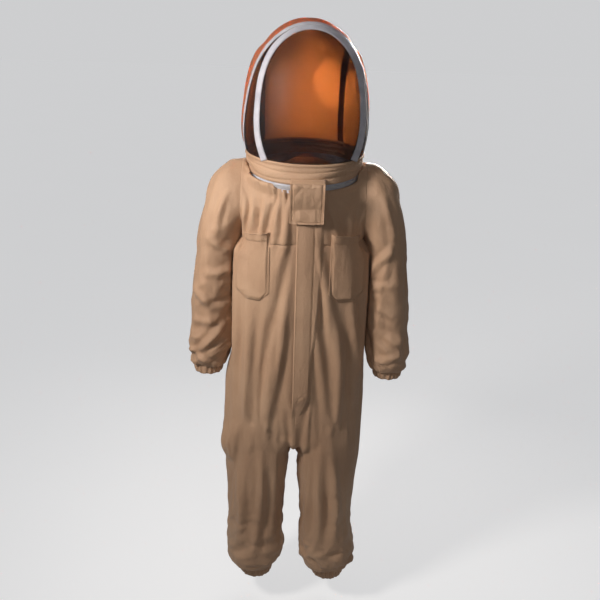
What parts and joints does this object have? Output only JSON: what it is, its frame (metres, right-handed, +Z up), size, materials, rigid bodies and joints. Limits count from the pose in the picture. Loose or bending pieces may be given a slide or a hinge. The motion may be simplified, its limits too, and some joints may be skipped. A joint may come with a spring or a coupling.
{
  "type": "beekeeping suit",
  "caption": "One-piece beige beekeeping overall with a zip-on hooped veil hood, throat flap, covered front zip, chest pockets and elastic cuffs.",
  "frame": {"origin": "middle of the wearer's shoulder line, where the suit hangs", "axes": "+Z up, the front faces -Y, the wearer's right is at -X"},
  "size_m": [0.626, 0.3227, 1.666],
  "materials": {
    "cloth": "matt beige twill",
    "veil": "stiff black net",
    "binding": "light grey woven tape",
    "seam_tape": "woven seam tape",
    "zip_plastic": "moulded",
    "hoop_wire": "smooth",
    "elastic": "knitted elastic",
    "hook_and_loop": "hook and loop",
    "slider_metal": "nickel plated"
  },
  "bodies": {
    "trunk": {"right_front_panel": "cloth", "left_front_panel": "cloth", "right_back_panel": "cloth", "left_back_panel": "cloth", "right_front_yoke": "cloth", "left_front_yoke": "cloth", "back_yoke": "cloth", "crotch_gusset": "cloth", "left_chest_pocket": "cloth", "right_chest_pocket": "cloth", "front_placket": "cloth", "hook_patch": "hook_and_loop", "right_zip_tape": "binding", "left_zip_tape": "binding", "front_zip_chain": "zip_plastic", "front_zip_stop": "zip_plastic", "collar_zip_tape": "binding", "collar_zip_chain": "zip_plastic"},
    "hood": {"hood_band": "cloth", "hood_zip_tape": "binding", "front_veil": "veil", "right_side_veil": "veil", "left_side_veil": "veil", "hood_back": "cloth", "hood_back_right": "cloth", "hood_back_left": "cloth", "left_back_seam_tape": "seam_tape", "right_back_seam_tape": "seam_tape", "front_hoop": "hoop_wire", "rear_hoop": "hoop_wire", "front_hoop_tape": "binding", "rear_hoop_tape": "binding"},
    "throat_flap": {"throat_flap": "cloth", "loop_patch": "hook_and_loop"},
    "front_slider": {"front_zip_slider": "slider_metal"},
    "front_pull": {"front_zip_pull": "slider_metal"},
    "right_hood_slider": {"right_hood_zip_slider": "slider_metal"},
    "right_hood_pull": {"right_hood_zip_pull": "slider_metal"},
    "left_hood_slider": {"left_hood_zip_slider": "slider_metal"},
    "left_hood_pull": {"left_hood_zip_pull": "slider_metal"},
    "left_sleeve": {"left_sleeve": "cloth", "left_cuff_casing": "cloth", "left_cuff_elastic": "elastic"},
    "left_leg": {"left_leg_front": "cloth", "left_leg_back": "cloth", "left_ankle_casing": "cloth", "left_ankle_elastic": "elastic"},
    "right_sleeve": {"right_sleeve": "cloth", "right_cuff_casing": "cloth", "right_cuff_elastic": "elastic"},
    "right_leg": {"right_leg_front": "cloth", "right_leg_back": "cloth", "right_ankle_casing": "cloth", "right_ankle_elastic": "elastic"}
  },
  "joints": [
    {"name": "hood_tilt", "type": "hinge", "parent": "trunk", "child": "hood", "pos_m": [0, 0.15354, -0.00912], "axis": [-1, 0, 0], "range_deg": [0, 105]},
    {"name": "throat_flap_lift", "type": "hinge", "parent": "hood", "child": "throat_flap", "pos_m": [0.0105, -0.155, -0.038], "axis": [-1, 0, 0], "range_deg": [0, 150]},
    {"name": "front_zip", "type": "slide", "parent": "trunk", "child": "front_slider", "axis": [0, 0, -1], "range_m": [0, 0.52]},
    {"name": "front_pull_swing", "type": "hinge", "parent": "front_slider", "child": "front_pull", "pos_m": [0, -0.1269, -0.099], "axis": [0, 1, 0], "range_deg": [-25, 25]},
    {"name": "right_hood_zip", "type": "hinge", "parent": "trunk", "child": "right_hood_slider", "pos_m": [0, 0.005, -0.03], "axis": [0, 0.1392, -0.9903], "range_deg": [0, 160]},
    {"name": "right_hood_pull_swing", "type": "hinge", "parent": "right_hood_slider", "child": "right_hood_pull", "pos_m": [-0.01812, -0.141, -0.05163], "axis": [-0.1219, -0.9829, -0.1381], "range_deg": [-25, 25]},
    {"name": "left_hood_zip", "type": "hinge", "parent": "trunk", "child": "left_hood_slider", "pos_m": [0, 0.005, -0.03], "axis": [0, -0.1392, 0.9903], "range_deg": [0, 160]},
    {"name": "left_hood_pull_swing", "type": "hinge", "parent": "left_hood_slider", "child": "left_hood_pull", "pos_m": [0.01812, -0.141, -0.05163], "axis": [0.1219, -0.9829, -0.1381], "range_deg": [-25, 25]},
    {"name": "right_sleeve_swing", "type": "hinge", "parent": "trunk", "child": "right_sleeve", "pos_m": [-0.165, 0, -0.125], "axis": [-1, 0, 0], "range_deg": [-25, 80]},
    {"name": "right_leg_swing", "type": "hinge", "parent": "trunk", "child": "right_leg", "pos_m": [-0.105, 0, -0.65], "axis": [-1, 0, 0], "range_deg": [-15, 40]},
    {"name": "left_sleeve_swing", "type": "hinge", "parent": "trunk", "child": "left_sleeve", "pos_m": [0.165, 0, -0.125], "axis": [-1, 0, 0], "range_deg": [-25, 80]},
    {"name": "left_leg_swing", "type": "hinge", "parent": "trunk", "child": "left_leg", "pos_m": [0.105, 0, -0.65], "axis": [-1, 0, 0], "range_deg": [-15, 40]}
  ]
}
